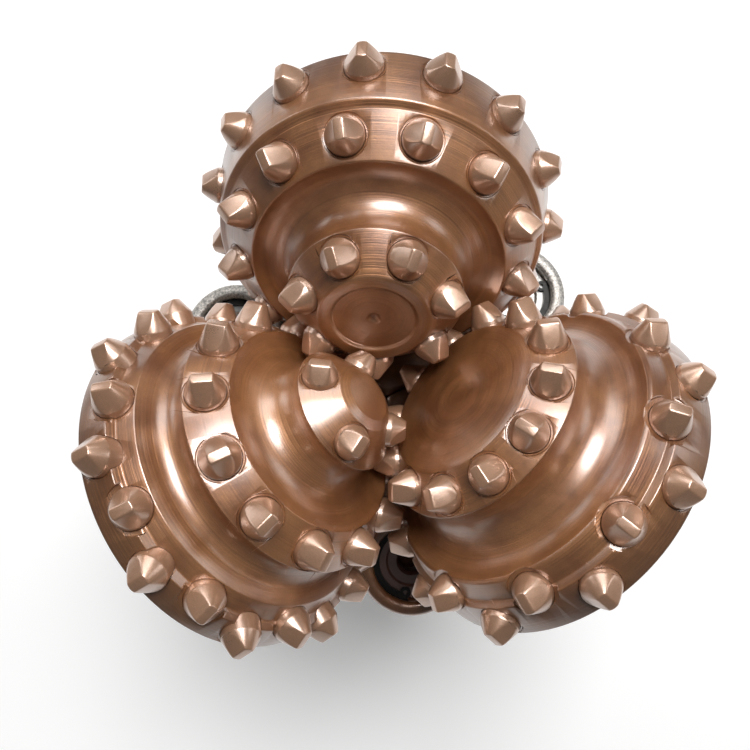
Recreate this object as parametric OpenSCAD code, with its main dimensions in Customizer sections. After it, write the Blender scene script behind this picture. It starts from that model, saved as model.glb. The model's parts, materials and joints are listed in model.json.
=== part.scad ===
// Three-cone roller drill bit with pressed hard-metal inserts and sealed journal bearings.
// Origin: centre of the pin's end face. +Z runs from the pin towards the cones. Millimetres.

/* [Gauge and layout] */
// Radius of the hole that the bit cuts
gauge_r = 107.95; // [107:0.05:109]
// Height of the point where the cone axes cross the bit axis
cross_h = 300; // [296:0.5:306]
// Angle of each journal below the horizontal
journal_angle = 33; // [32.5:0.1:33.5]
// Sideways offset of each cone axis
cone_offset = 6; // [5.5:0.1:6.5]

/* [Pin and shank] */
// Length of the threaded pin
pin_len = 107.95; // [100:0.5:112]
// Root radius of the taper thread at the pin's end
pin_end_r = 42.6; // [40:0.1:44]
// Growth of the pin's radius per millimetre of length
pin_taper = 0.125; // [0.1:0.005:0.14]
// Pitch of the pin thread
thread_pitch = 5.08; // [4:0.01:6.35]
// Height of a thread ridge above the root
thread_h = 2.9; // [1:0.1:3.2]
// Length of the plain relief below the shoulder
relief_len = 12.7; // [8:0.1:16]
// Radius of the plain relief
relief_r = 57.9; // [56:0.1:60]
// Outer radius of the shank
shank_r = 69.85; // [68:0.1:73]
// Width of the bevel round the make-up shoulder
shoulder_bevel = 2.4; // [1:0.1:4]
// Height of the shank where the legs start to flare
flare_h = 150; // [144:0.5:156]
// Radius of the central water bore
water_bore_r = 28.575; // [24:0.1:30]
// Radius of the mud chamber above the bore
chamber_r = 34; // [30:0.5:38]
// Height of the top of the mud chamber
chamber_top = 140; // [130:1:144]
// Width of the slot for the breaker plate
breaker_w = 32; // [20:1:40]
// Height of the slot for the breaker plate
breaker_h = 20; // [12:1:24]
// Depth of the slot for the breaker plate
breaker_depth = 6; // [3:0.5:8]

/* [Legs] */
// Gap between the legs and the wall of the hole
leg_gap = 3.95; // [3:0.05:5]
// Height where the legs reach their full radius
leg_full_h = 200; // [194:1:206]
// Half width of the leg under the shirttail
leg_half_w = 48.5; // [46:0.1:50]
// Half width of the leg's waist
waist_half_w = 39; // [36:0.5:44]
// Radius of the core between the legs
core_r = 79; // [76:0.5:82]
// Height of the crotch between the legs
crotch_h = 186; // [180:0.5:189]
// Gap between the leg and the cone's back face
back_gap = 1; // [0.6:0.1:1.5]

/* [Bearing] */
// Radius of the main journal
journal_r = 28; // [27:0.1:28.5]
// Radius of the pilot pin
pilot_r = 15; // [14:0.1:16]
// Wall of the floating bushing
bushing_wall = 3.4; // [2.5:0.1:4]
// Wall of the pilot bushing
pilot_wall = 3.1; // [2.5:0.1:4]
// Diameter of a retaining ball
ball_d = 12.7; // [12:0.1:12.9]
// Number of retaining balls in one race
ball_count = 12; // [10:1:12]
// Radius of the circle of ball centres
ball_pitch_r = 24.9; // [24.7:0.05:25.4]
// Radial clearance of a running fit
run_fit = 0.05; // [0.02:0.01:0.08]
// Section radius of the seal ring
seal_r = 3.05; // [2.6:0.05:3.4]
// Width of the seal gland
gland_w = 7.5; // [7:0.1:8]

/* [Inserts] */
// Diameter of a gauge insert
gauge_ins_d = 13.5; // [12:0.1:13.8]
// Diameter of a middle or inner insert
inner_ins_d = 13.5; // [12:0.1:13.8]
// Height of an insert above its seat
insert_proud = 8.8; // [7:0.1:9.2]
// Depth of an insert below its seat
insert_deep = 9; // [7:0.1:10]
// Length of the chisel crest
crest_len = 7; // [5:0.1:8]
// Width of the chisel crest
crest_w = 3.4; // [2:0.1:5]
// Clearance of an insert in its pocket
press_gap = 0.02; // [0.01:0.01:0.04]
// Diameter of a heel button
heel_d = 7; // [6:0.1:7.5]
// Diameter of a shirttail button
shirt_button_d = 9; // [7:0.5:10]

/* [Jets] */
// Distance of a nozzle from the bit axis
nozzle_dist = 77; // [75:0.5:78]
// Height of the nozzle boss
nozzle_h = 203; // [200:0.5:204]
// Angle of a nozzle round the bit, past the leg before it
nozzle_turn = 72; // [71:0.5:73]
// Lean of a nozzle from the bit axis
nozzle_lean = 10; // [6:0.5:14]
// Outer radius of the nozzle boss
boss_r = 24; // [23:0.1:24.5]
// Radius of the nozzle
nozzle_r = 17; // [15:0.1:17.5]
// Radius of the nozzle's throat
throat_r = 5.6; // [4:0.1:8]
// Radius of the passage behind the nozzle
passage_r = 10; // [8:0.1:10.5]

/* [Lubricator] */
// Radius of the reservoir bore
res_r = 17; // [15:0.1:18]
// Depth of the reservoir bore
res_deep = 40; // [36:0.5:42]
// Wall of the reservoir cup
cup_wall = 1.6; // [1:0.1:2.5]

/* [Hidden] */
$fn = 96;
// Gauge radius for which the cones and bearings below are drawn; they follow gauge_r in proportion
drawn_gauge_r = 107.95;
cone_scale = gauge_r / drawn_gauge_r;
// Directions of the three legs round the bit axis
leg_az = [90, 330, 210];
leg_r = gauge_r - leg_gap;
far = 400;

// Stations along a cone's axis, outwards from where the axes cross
back_s = 88.5;
leg_face_s = back_s + back_gap;
bearing_s = 59;
ball_s = 52.8;
ball_end_s = 46.5;
pilot_end_s = 37.3;
thrust_gap = 0.2;
washer_t = 1.8;
button_t = 2;
thrust_face_s = ball_end_s - washer_t - 2 * thrust_gap;
pilot_bottom_s = pilot_end_s - button_t - thrust_gap;

// Radii of the bearing
cone_bore_r = journal_r + bushing_wall + 2 * run_fit;
ball_land_r = ball_pitch_r - 0.5;
ball_bore_r = ball_pitch_r + 0.5;
pilot_bore_r = pilot_r + pilot_wall + run_fit + press_gap;
gland_r = journal_r + 2 * seal_r + 2 * run_fit;
race_r = ball_d / 2 + run_fit;
// Hole through which the balls are loaded, and its necked plug
ball_hole_r = ball_d / 2 + 0.25;
ball_hole_tilt = 40;
ball_plug_r = ball_hole_r - 0.1;
plug_neck_r = 4;
plug_below = 0.5;

// Lands that carry the inserts, from nose to back, as [radius, station] pairs
heel = [[64.6, 82.2], [53.6, 87.6]];
gauge_land = [[60.7, 59.5], heel[0]];
middle_land = [[46.4, 45.6], [58.2, 58.5]];
nose_land = [[19.6, 19.3], [31.6, 30.6]];
inner_land_b = [[29.9, 30.9], [41.8, 40.6]];
inner_land_c = [[38.4, 38.2], [49.0, 49.4]];
spear_land = [[12.2, 14], [22.4, 23.6]];
second_land_b = [[56.2, 60.6], [59, 67.2]];
second_land_c = [[55.6, 64.8], [58.9, 70]];
ring_start_c = [51.2, 63.8];
gauge_start_b = [61.8, 68];
gauge_start_c = [62.2, 70.9];
nose_recess = 1;
cove_steps = 10;

// Points of an arc from p to q that bulges to the left of the way by sag
function arc(p, q, sag) =
  let (c = q - p, l = norm(c), n = [-c[1], c[0]] / l, r = (l * l / 4 + sag * sag) / (2 * sag),
       o = (p + q) / 2 + n * (sag - r), a = atan2(p[1] - o[1], p[0] - o[0]), half = acos((r - sag) / r))
  [for (i = [0:cove_steps]) o + r * [cos(a - 2 * half * i / cove_steps), sin(a - 2 * half * i / cove_steps)]];

// Outlines of the three cones from the nose to the gauge land
outline_a = concat(
  [[0, nose_land[0][1] + nose_recess + 2.4], [2.4, nose_land[0][1] + nose_recess],
   [14.6, nose_land[0][1] + nose_recess], [15.2, nose_land[0][1]]], nose_land,
  arc(nose_land[1] + [-0.4, 0.6], middle_land[0], 8), [middle_land[1]], gauge_land);
outline_b = concat(
  [[0, 30.2], [26.5, 30.2]], inner_land_b,
  arc(inner_land_b[1] + [-0.6, 0.6], second_land_b[0] + [-1.4, -0.6], 8), second_land_b,
  [gauge_start_b, gauge_land[1]]);
outline_c = concat(
  [[0, 12.5], [9, 12.5]], spear_land, arc(spear_land[1] + [-0.6, 0.4], inner_land_c[0], 7.6),
  [inner_land_c[1]], arc(inner_land_c[1] + [-0.6, 0.8], ring_start_c, 5.4), second_land_c,
  [gauge_start_c, gauge_land[1]]);
outlines = [outline_a, outline_b, outline_c];
bore_outline = [
  [heel[1][0] - 1.2, back_s], [gland_r, back_s], [gland_r, back_s - gland_w],
  [cone_bore_r, back_s - gland_w], [cone_bore_r, bearing_s], [ball_bore_r, bearing_s],
  [ball_bore_r, thrust_face_s], [pilot_bore_r, thrust_face_s], [pilot_bore_r, pilot_bottom_s],
  [0, pilot_bottom_s]];

function on_land(land, share) = land[0] + share * (land[1] - land[0]);
function land_lean(land) = atan2(land[1][1] - land[0][1], land[0][0] - land[1][0]);

// Farthest reach from the bit axis of a point that turns with a cone
function reach(r, s) = max([for (a = [-60:2:60])
  norm([cone_scale * (s * cos(journal_angle) + r * cos(a) * sin(journal_angle)),
        cone_scale * r * sin(a) + cone_offset])]);
function crest_reach(seat, lean, proud) = max([for (x = [-crest_len / 2, crest_len / 2])
  reach(seat[0] + proud * sin(lean) + x * cos(lean), seat[1] + proud * cos(lean) - x * sin(lean))]);
// Height of an insert whose crest just reaches the wall of the hole
function gauge_proud(seat, lean) =
  let (here = crest_reach(seat, lean, insert_proud), more = crest_reach(seat, lean, insert_proud + 1))
  insert_proud + (gauge_r - here) / (more - here);

seat_rim = 0.9;
seat_deep = 0.5;

// A row of inserts: seat as [radius, station], lean of the insert from the cone's axis, number,
// turn of the first one, diameter, height above the seat, width of the machined rim round it
gauge_turn = [-7.3, -9.2, -18.4];
gauge_count = [15, 10, 10];
gauge_share = [0.67, 0.67, 0.67];
function gauge_row(k) =
  let (seat = on_land(gauge_land, gauge_share[k]), lean = land_lean(gauge_land))
  [seat, lean, gauge_count[k], gauge_turn[k], gauge_ins_d, gauge_proud(seat, lean), seat_rim];
middle_row = [on_land(middle_land, 0.51), land_lean(middle_land), 13, -13.9, inner_ins_d, insert_proud,
              seat_rim];
second_rows = [[], [[59.3, 66.6], 128, 10, 8.8, inner_ins_d, insert_proud - 0.8, 2 * seat_rim],
               [[60.3, 70.4], 120, 10, -0.4, inner_ins_d, insert_proud - 0.8, 2 * seat_rim]];
nose_row = [on_land(nose_land, 0.5), land_lean(nose_land), 7, -28, inner_ins_d, insert_proud - 0.8,
            seat_rim];
inner_rows = [[], [on_land(inner_land_b, 0.48), land_lean(inner_land_b), 12, 31.8, inner_ins_d - 0.5,
                   insert_proud - 0.5, seat_rim],
              [on_land(inner_land_c, 0.5), land_lean(inner_land_c), 12, 1.6, inner_ins_d, insert_proud - 0.2,
               seat_rim]];
spear_row = [on_land(spear_land, 0.48), land_lean(spear_land), 4, -43.4, inner_ins_d - 1.5,
             insert_proud - 2.5, seat_rim];
rows = [[gauge_row(0), middle_row, nose_row], [gauge_row(1), second_rows[1], inner_rows[1]],
        [gauge_row(2), second_rows[2], inner_rows[2], spear_row]];
// Heel buttons stand between the gauge inserts
heel_deep = 3.5;
heel_proud = 0.8;
function heel_row(k) =
  [on_land(heel, 0.5), land_lean(heel), gauge_count[k], gauge_turn[k] + 180 / gauge_count[k]];

// Slope of the leg's back between the shank and full radius, where the reservoir is bored
slope = [leg_r - shank_r, leg_full_h - flare_h];
slope_lean = atan2(slope[1], -slope[0]);
res_y = shank_r + slope[0] / 2;
res_z = flare_h + slope[1] / 2;
cap_top = 5;
cap_t = 6;
ring_t = 1.6;
flange_t = 2;

boss_len = 60;
pocket_deep = 30;
nozzle_top = 6;
pocket_r = nozzle_r + 0.1;
jet_seal_r = 1.95;

module place_leg(k) rotate([0, 0, leg_az[k] - 90]) children();

// From the cone's own frame, Z outwards along its axis and X upwards, to a leg that faces +Y
module cone_frame()
  translate([-cone_offset, 0, cross_h]) rotate([-90 - journal_angle, 0, 0]) rotate([0, 0, -90])
    scale(cone_scale) children();

module place_cone(k) place_leg(k) cone_frame() children();

module along_row(row)
  for (i = [0:row[2] - 1])
    rotate([0, 0, row[3] + i * 360 / row[2]]) translate([row[0][0], 0, row[0][1]])
      rotate([0, row[1], 0]) children();

// Hard-metal insert with a chisel crest; the seat is at height 0
module chisel(d, proud) {
  grip = 1.2;
  intersection() {
    rotate_extrude()
      polygon([[0, -insert_deep], [d / 2 - 0.6, -insert_deep], [d / 2, -insert_deep + 0.6], [d / 2, grip],
               [crest_len / 2 + 0.5, proud - 0.6], [crest_len / 2 - 0.3, proud], [0, proud]]);
    rotate([90, 0, 90]) linear_extrude(2 * d, center = true)
      polygon([[-d, -d], [d, -d], [d, grip], [d / 2, grip], [crest_w / 2 + 0.4, proud - 0.5],
               [crest_w / 2 - 0.3, proud + 0.1], [-crest_w / 2 + 0.3, proud + 0.1],
               [-crest_w / 2 - 0.4, proud - 0.5], [-d / 2, grip], [-d, grip]]);
  }
}

module insert_row(row) along_row(row) chisel(row[4], row[5], $fn = 48);

module pockets(row) along_row(row) let ($fn = 48) {
  translate([0, 0, -insert_deep]) cylinder(r = row[4] / 2 + press_gap, h = insert_deep + row[5]);
  translate([0, 0, -seat_deep]) cylinder(r = row[4] / 2 + row[6], h = seat_deep + row[5]);
}

module ball_race() rotate_extrude() translate([ball_pitch_r, ball_s]) circle(race_r);

module cone_shell(k) color("#9a6a45") place_cone(k) difference() {
  rotate_extrude() polygon(concat(outlines[k], [heel[1]], bore_outline));
  ball_race();
  for (row = rows[k]) pockets(row);
  along_row(heel_row(k)) translate([0, 0, -heel_deep])
    cylinder(r = heel_d / 2 + press_gap, h = 3 * heel_deep, $fn = 48);
}

module gauge_inserts(k) color("#b98a63") place_cone(k) insert_row(rows[k][0]);
module middle_inserts() color("#b98a63") place_cone(0) insert_row(middle_row);
module second_inserts(k) color("#b98a63") place_cone(k) insert_row(second_rows[k]);
module inner_inserts(k) color("#b98a63") place_cone(k) insert_row(inner_rows[k]);
module nose_inserts(k) color("#b98a63") place_cone(k) insert_row(k == 0 ? nose_row : spear_row);

module heel_buttons(k) color("#8d9094") place_cone(k) along_row(heel_row(k)) rotate_extrude()
  polygon([[0, -heel_deep], [heel_d / 2, -heel_deep], [heel_d / 2, 0.2], [heel_d / 2 - 0.6, heel_proud],
           [0, heel_proud]]);

module tube(r_in, r_out, from, to) rotate_extrude()
  polygon([[r_in, from], [r_out, from], [r_out, to], [r_in, to]]);

module floating_bushing(k) color("#b08a4a") place_cone(k)
  tube(journal_r + run_fit, cone_bore_r - run_fit, bearing_s + 0.3, back_s - gland_w - 0.3);

module pilot_bushing(k) color("#b08a4a") place_cone(k)
  tube(pilot_r + run_fit, pilot_bore_r - press_gap, pilot_bottom_s + button_t + 0.1, thrust_face_s - 0.1);

module thrust_button(k) color("#8d9094") place_cone(k) translate([0, 0, pilot_bottom_s])
  cylinder(r = pilot_bore_r - press_gap, h = button_t);

module thrust_washer(k) color("#c9c9cc") place_cone(k)
  tube(pilot_r + 0.3, ball_bore_r - 0.4, ball_end_s - thrust_gap - washer_t, ball_end_s - thrust_gap);

module retaining_balls(k) color("#d0d2d4") place_cone(k)
  for (i = [0:ball_count - 1])
    rotate([0, 0, i * 360 / ball_count]) translate([ball_pitch_r, 0, ball_s]) sphere(d = ball_d);

module seal_ring(k) color("#222222") place_cone(k)
  rotate_extrude() translate([journal_r + run_fit + seal_r, back_s - gland_w / 2]) circle(seal_r);

// Journal with its ball land and pilot pin, in the cone's frame
module journal() rotate_extrude()
  polygon([[0, pilot_end_s], [pilot_r - 1, pilot_end_s], [pilot_r, pilot_end_s + 1], [pilot_r, ball_end_s],
           [ball_land_r, ball_end_s], [ball_land_r, bearing_s], [journal_r, bearing_s],
           [journal_r, leg_face_s + 1], [0, leg_face_s + 1]]);

// Frame of the slanting ball hole: Z runs from a ball's centre to the leg's back
module at_ball_hole()
  cone_frame() translate([-ball_pitch_r, 0, ball_s]) rotate([0, ball_hole_tilt, 0]) children();

// One third of the pin, the shank and the core under the crotch
module bit_third() rotate_extrude()
  polygon([[0, chamber_top], [chamber_r - 6, chamber_top], [chamber_r, chamber_top - 6],
           [chamber_r, pin_len], [water_bore_r, pin_len - relief_len], [water_bore_r, 0],
           [pin_end_r - 1.5, 0], [pin_end_r, 1.5],
           [pin_end_r + pin_taper * (pin_len - relief_len), pin_len - relief_len],
           [relief_r, pin_len - relief_len + 2], [relief_r, pin_len], [shank_r - shoulder_bevel, pin_len],
           [shank_r, pin_len + shoulder_bevel], [shank_r, flare_h], [core_r, flare_h + 16],
           [core_r, crotch_h - 8], [core_r - 8, crotch_h], [26, crotch_h], [18, crotch_h + 3],
           [8, crotch_h + 5], [0, crotch_h + 5]]);

// Ridges of the pin thread, drawn as rings; the real one is cut once the legs are welded
thread_skin = 0.4;
thread_end = 2;
function root_at(z) =
  let (full = pin_len - relief_len) pin_end_r + pin_taper * full * (z - 1.5) / (full - 1.5);
module pin_thread() color("#8f8b86") {
  count = floor((pin_len - relief_len - 2 * thread_end) / thread_pitch);
  top = thread_end + count * thread_pitch;
  rotate_extrude() polygon(concat(
    [for (i = [0:count - 1]) let (z = thread_end + i * thread_pitch, mid = z + thread_pitch / 2)
      each [[root_at(z) + thread_skin, z], [root_at(mid) + thread_h, mid - thread_pitch / 10],
            [root_at(mid) + thread_h, mid + thread_pitch / 10]]],
    [[root_at(top) + thread_skin, top], [root_at(top) + press_gap, top],
     [root_at(thread_end) + press_gap, thread_end]]));
}

// Everything inside the legs' back surface
module back_limit(r) rotate_extrude()
  polygon([[0, flare_h], [shank_r, flare_h], [r, leg_full_h], [r, cross_h], [0, cross_h]]);

module leg_wedge() linear_extrude(cross_h)
  polygon([[0, 0], far * [cos(30), sin(30)], [0, 2 * far], far * [-cos(30), sin(30)]]);

// The arm: behind the cone's back face, round over the top, narrower at its waist
module arm() intersection() {
  back_limit(leg_r);
  cone_frame() translate([0, 0, leg_face_s]) linear_extrude(far) union() {
    circle(leg_half_w);
    translate([-far, -leg_half_w]) square([far, 2 * leg_half_w]);
  }
  translate([-cone_offset, 0, 0]) rotate([90, 0, 180]) linear_extrude(far)
    polygon([[-waist_half_w, flare_h - 20], [waist_half_w, flare_h - 20], [waist_half_w, leg_full_h - 6],
             [leg_half_w + 1, leg_full_h + 26], [leg_half_w + 1, cross_h], [-leg_half_w - 1, cross_h],
             [-leg_half_w - 1, leg_full_h + 26], [-waist_half_w, leg_full_h - 6]]);
}

module at_reservoir() translate([-cone_offset, res_y, res_z]) rotate([-slope_lean, 0, 0]) children();

module at_nozzle(k) rotate([0, 0, leg_az[k] + nozzle_turn]) translate([nozzle_dist, 0, nozzle_h])
  rotate([0, nozzle_lean, 0]) children();

module rod(p, q, r) {
  d = q - p;
  translate(p) rotate([0, acos(d[2] / norm(d)), atan2(d[1], d[0])]) cylinder(r = r, h = norm(d));
}

// Way of the mud from the central bore to the floor of a nozzle's pocket
module mud_passage(k) rotate([0, 0, leg_az[k] + nozzle_turn])
  rod([0, 0, chamber_top - 10],
      [nozzle_dist - pocket_deep * sin(nozzle_lean), 0, nozzle_h - pocket_deep * cos(nozzle_lean)],
      passage_r);

// Way of the grease from the reservoir to the ball hole
module grease_passage() {
  along = 45;
  v = -ball_pitch_r + along * sin(ball_hole_tilt);
  s = ball_s + along * cos(ball_hole_tilt);
  rod([-cone_offset, res_y - (res_deep - 1) * sin(slope_lean), res_z - (res_deep - 1) * cos(slope_lean)],
      [-cone_offset, cone_scale * (s * cos(journal_angle) + v * sin(journal_angle)),
       cross_h + cone_scale * (v * cos(journal_angle) - s * sin(journal_angle))], 2.5);
}

module leg_button_places() for (i = [-2:2])
  rotate([0, 0, atan2(cone_offset, leg_r) + i * 9]) translate([0, leg_r, cross_h - 22 - 3.2 * i * i])
    rotate([-90, 0, 0]) children();

module leg(k) color("#a9704a") difference() {
  place_leg(k) difference() {
    union() {
      intersection() {
        leg_wedge();
        union() {
          bit_third();
          arm();
        }
      }
      cone_frame() journal();
    }
    cone_frame() ball_race();
    at_ball_hole() cylinder(r = ball_hole_r, h = 100);
    at_reservoir() translate([0, 0, -res_deep]) cylinder(r = res_r, h = res_deep + 20);
    at_reservoir() translate([0, 0, -cap_top + 0.3]) cylinder(r = res_r + 1.5, h = ring_t + 0.4);
    grease_passage();
    leg_button_places() translate([0, 0, -6]) cylinder(d = shirt_button_d + 2 * press_gap, h = 12);
    translate([-breaker_w / 2, shank_r - breaker_depth, pin_len + 10]) cube([breaker_w, far, breaker_h]);
  }
  for (j = [0:2]) {
    at_nozzle(j) translate([0, 0, -boss_len]) cylinder(r = boss_r, h = boss_len + 30);
    mud_passage(j);
  }
}

module ball_plug(k) color("#7d8084") place_leg(k) difference() {
  intersection() {
    at_ball_hole() rotate_extrude()
      polygon([[0, 3], [ball_plug_r, 3], [ball_plug_r, 18], [plug_neck_r, 20], [plug_neck_r, 60],
               [ball_plug_r, 62], [ball_plug_r, 100], [0, 100]]);
    union() {
      cone_frame() journal();
      intersection() {
        back_limit(leg_r - plug_below);
        cone_frame() translate([0, 0, leg_face_s]) cylinder(r = leg_half_w, h = far / cone_scale);
      }
    }
  }
  cone_frame() ball_race();
}

module reservoir_cup(k) color("#9da1a6") place_leg(k) at_reservoir() difference() {
  translate([0, 0, -res_deep]) cylinder(r = res_r - 0.1, h = res_deep - cap_top - cap_t - flange_t);
  translate([0, 0, -res_deep + cup_wall]) cylinder(r = res_r - 0.1 - cup_wall, h = res_deep);
  translate([0, 0, -res_deep - 1]) cylinder(r = 3, h = 10);
}

module diaphragm(k) color("#1d1d1f") place_leg(k) at_reservoir() rotate_extrude() {
  top = -cap_top - cap_t;
  deep = 20;
  inner = res_r - cup_wall - 0.6;
  polygon([[res_r - 0.1, top], [res_r - 0.1, top - flange_t], [inner, top - flange_t],
           [inner - 2, top - deep], [0, top - deep - 2], [0, top - deep],
           [inner - 4, top - deep + 2], [inner - 2.5, top]]);
}

module reservoir_cap(k) color("#8a8d91") place_leg(k) at_reservoir() difference() {
  translate([0, 0, -cap_top - cap_t]) cylinder(r = res_r - 0.1, h = cap_t);
  translate([0, 0, -cap_top - 2]) cylinder(r = res_r - 4.5, h = far);
  translate([0, 0, -cap_top - cap_t - 1]) cylinder(r = 1.5, h = far);
}

// Open spring ring with two eyes at its ends
module snap_ring(r_out, r_in, gap) difference() {
  union() {
    difference() {
      cylinder(r = r_out, h = ring_t);
      translate([0, 0, -1]) cylinder(r = r_in, h = ring_t + 2);
      translate([0, 0, -1]) linear_extrude(ring_t + 2)
        polygon([[0, 0], far * [cos(gap), sin(gap)], far * [cos(gap), -sin(gap)]]);
    }
    for (a = [-gap - 6, gap + 6]) rotate([0, 0, a]) translate([r_in - 0.4, 0, 0])
      cylinder(r = 2.4, h = ring_t);
  }
  for (a = [-gap - 6, gap + 6]) rotate([0, 0, a]) translate([r_in - 0.4, 0, -1])
    cylinder(r = 1.1, h = ring_t + 2);
}

module reservoir_snap_rings() color("#2a2a2c") for (k = [0:2])
  place_leg(k) at_reservoir() translate([0, 0, -cap_top + 0.4]) snap_ring(res_r + 1.3, res_r - 2.2, 14);

module shirttail_buttons() color("#8d9094") for (k = [0:2]) place_leg(k) leg_button_places() rotate_extrude()
  polygon([[0, -6], [shirt_button_d / 2, -6], [shirt_button_d / 2, -0.2], [shirt_button_d / 2 - 0.5, 0.3],
           [0, 0.3]]);

// Cast boss that holds a nozzle; it is welded into the corner between two legs
module jet_boss(k) color("#a8a39c") difference() {
  intersection() {
    at_nozzle(k) rotate_extrude()
      polygon([[0, -boss_len], [boss_r, -boss_len], [boss_r, -3], [boss_r - 1, -1], [boss_r - 3, 0], [0, 0]]);
    rotate_extrude()
      polygon([[0, flare_h - 20], [shank_r, flare_h - 20], [shank_r, flare_h - 10],
               [leg_r - 6, nozzle_h - 31], [leg_r - 1, nozzle_h - 15], [leg_r - 1, cross_h], [0, cross_h]]);
  }
  at_nozzle(k) rotate_extrude()
    polygon([[0, -pocket_deep], [pocket_r, -pocket_deep], [pocket_r, -nozzle_top],
             [pocket_r + 2.3, -nozzle_top], [pocket_r + 2.3, -nozzle_top + ring_t + 0.2],
             [pocket_r, -nozzle_top + ring_t + 0.2], [pocket_r, -1.5], [pocket_r + 1.5, 0],
             [pocket_r + 1.5, 1], [0, 1]]);
  at_nozzle(k) rotate_extrude() translate([pocket_r - 0.1, -23]) square([2 * jet_seal_r + 0.2, 5]);
  mud_passage(k);
}

module nozzle(k) color("#c6c2ba") at_nozzle(k) rotate_extrude()
  polygon([[passage_r, -pocket_deep], [nozzle_r, -pocket_deep], [nozzle_r, -nozzle_top],
           [throat_r + 6, -nozzle_top], [throat_r + 5, -nozzle_top - 1],
           [throat_r + 1.2, -nozzle_top - 1], [throat_r, -nozzle_top - 2.4],
           [throat_r, -nozzle_top - 9], [passage_r - 2, -pocket_deep + 7]]);

module nozzle_snap_rings() color("#1b1b1d") for (k = [0:2])
  at_nozzle(k) translate([0, 0, -nozzle_top + 0.1]) snap_ring(pocket_r + 2.1, pocket_r - 2.6, 14);

module nozzle_seal_rings() color("#1b1b1d") for (k = [0:2])
  at_nozzle(k) rotate_extrude() translate([pocket_r + jet_seal_r + 0.02, -20.5]) circle(jet_seal_r);

leg(0);  // leg_a
leg(1);  // leg_b
leg(2);  // leg_c
cone_shell(0);  // cone_a
cone_shell(1);  // cone_b
cone_shell(2);  // cone_c
gauge_inserts(0);  // gauge_inserts_a
gauge_inserts(1);  // gauge_inserts_b
gauge_inserts(2);  // gauge_inserts_c
middle_inserts();  // middle_inserts_a
second_inserts(1);  // second_inserts_b
second_inserts(2);  // second_inserts_c
nose_inserts(0);  // nose_inserts_a
inner_inserts(1);  // inner_inserts_b
inner_inserts(2);  // inner_inserts_c
nose_inserts(2);  // nose_inserts_c
heel_buttons(0);  // heel_buttons_a
heel_buttons(1);  // heel_buttons_b
heel_buttons(2);  // heel_buttons_c
floating_bushing(0);  // floating_bushing_a
floating_bushing(1);  // floating_bushing_b
floating_bushing(2);  // floating_bushing_c
pilot_bushing(0);  // pilot_bushing_a
pilot_bushing(1);  // pilot_bushing_b
pilot_bushing(2);  // pilot_bushing_c
thrust_button(0);  // thrust_button_a
thrust_button(1);  // thrust_button_b
thrust_button(2);  // thrust_button_c
thrust_washer(0);  // thrust_washer_a
thrust_washer(1);  // thrust_washer_b
thrust_washer(2);  // thrust_washer_c
retaining_balls(0);  // retaining_balls_a
retaining_balls(1);  // retaining_balls_b
retaining_balls(2);  // retaining_balls_c
seal_ring(0);  // seal_ring_a
seal_ring(1);  // seal_ring_b
seal_ring(2);  // seal_ring_c
ball_plug(0);  // ball_plug_a
ball_plug(1);  // ball_plug_b
ball_plug(2);  // ball_plug_c
reservoir_cup(0);  // reservoir_cup_a
reservoir_cup(1);  // reservoir_cup_b
reservoir_cup(2);  // reservoir_cup_c
diaphragm(0);  // diaphragm_a
diaphragm(1);  // diaphragm_b
diaphragm(2);  // diaphragm_c
reservoir_cap(0);  // reservoir_cap_a
reservoir_cap(1);  // reservoir_cap_b
reservoir_cap(2);  // reservoir_cap_c
reservoir_snap_rings();
shirttail_buttons();
jet_boss(0);  // jet_boss_a
jet_boss(1);  // jet_boss_b
jet_boss(2);  // jet_boss_c
nozzle(0);  // nozzle_a
nozzle(1);  // nozzle_b
nozzle(2);  // nozzle_c
nozzle_snap_rings();
nozzle_seal_rings();
pin_thread();
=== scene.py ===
"""Dresses a three-cone roller bit: turned cones, ground inserts, forged legs, cast jet bosses, pin thread and paint."""

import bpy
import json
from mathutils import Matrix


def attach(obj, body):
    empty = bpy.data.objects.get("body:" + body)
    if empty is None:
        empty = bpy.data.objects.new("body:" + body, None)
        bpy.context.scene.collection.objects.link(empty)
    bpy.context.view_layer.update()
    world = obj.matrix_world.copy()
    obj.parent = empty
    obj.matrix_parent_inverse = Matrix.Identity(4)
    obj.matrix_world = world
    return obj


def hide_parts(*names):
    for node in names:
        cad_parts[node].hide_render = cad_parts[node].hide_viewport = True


bl_info = {
    "name": "Roller Cone Bit",
    "version": (1, 0, 0),
    "blender": (4, 5, 0),
    "location": "3D View > Sidebar > Roller Bit",
    "description": "Finishes a three-cone rock bit: cones, inserts, legs, jets, thread, welds and paint",
    "category": "Add Mesh",
}

import json
import math

import bmesh
import bpy
from bpy.props import FloatProperty, FloatVectorProperty, IntProperty, PointerProperty
from mathutils import Matrix, Vector

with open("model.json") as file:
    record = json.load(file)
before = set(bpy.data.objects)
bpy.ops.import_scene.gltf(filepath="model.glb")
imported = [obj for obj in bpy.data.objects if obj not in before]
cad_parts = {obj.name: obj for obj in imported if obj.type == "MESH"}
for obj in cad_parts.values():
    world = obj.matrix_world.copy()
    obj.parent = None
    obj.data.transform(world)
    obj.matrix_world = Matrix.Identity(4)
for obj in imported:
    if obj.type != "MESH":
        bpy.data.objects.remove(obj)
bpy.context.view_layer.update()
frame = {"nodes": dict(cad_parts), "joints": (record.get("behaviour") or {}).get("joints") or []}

MM = 0.001
LETTERS = "abc"

# Legs and jets, in degrees and metres
LEG_AZIMUTH = {"a": 90, "b": 330, "c": 210}
JET_TURN = 72
JET_LEAN = 10
JET_MOUTH = (0.077, 0, 0.203)
SEAM_AZIMUTHS = (30, 150, 270)
SHANK_RADIUS = 0.0698
SHANK_FOOT = 112 * MM
SHANK_TOP = 152 * MM

# Pin thread, in metres, with the taper of its radius and its number of turns
ROOT_RADIUS = 0.0426
PIN_TAPER = 0.125
THREAD_START = 4.5 * MM
THREAD_TURNS = 17.2

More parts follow.
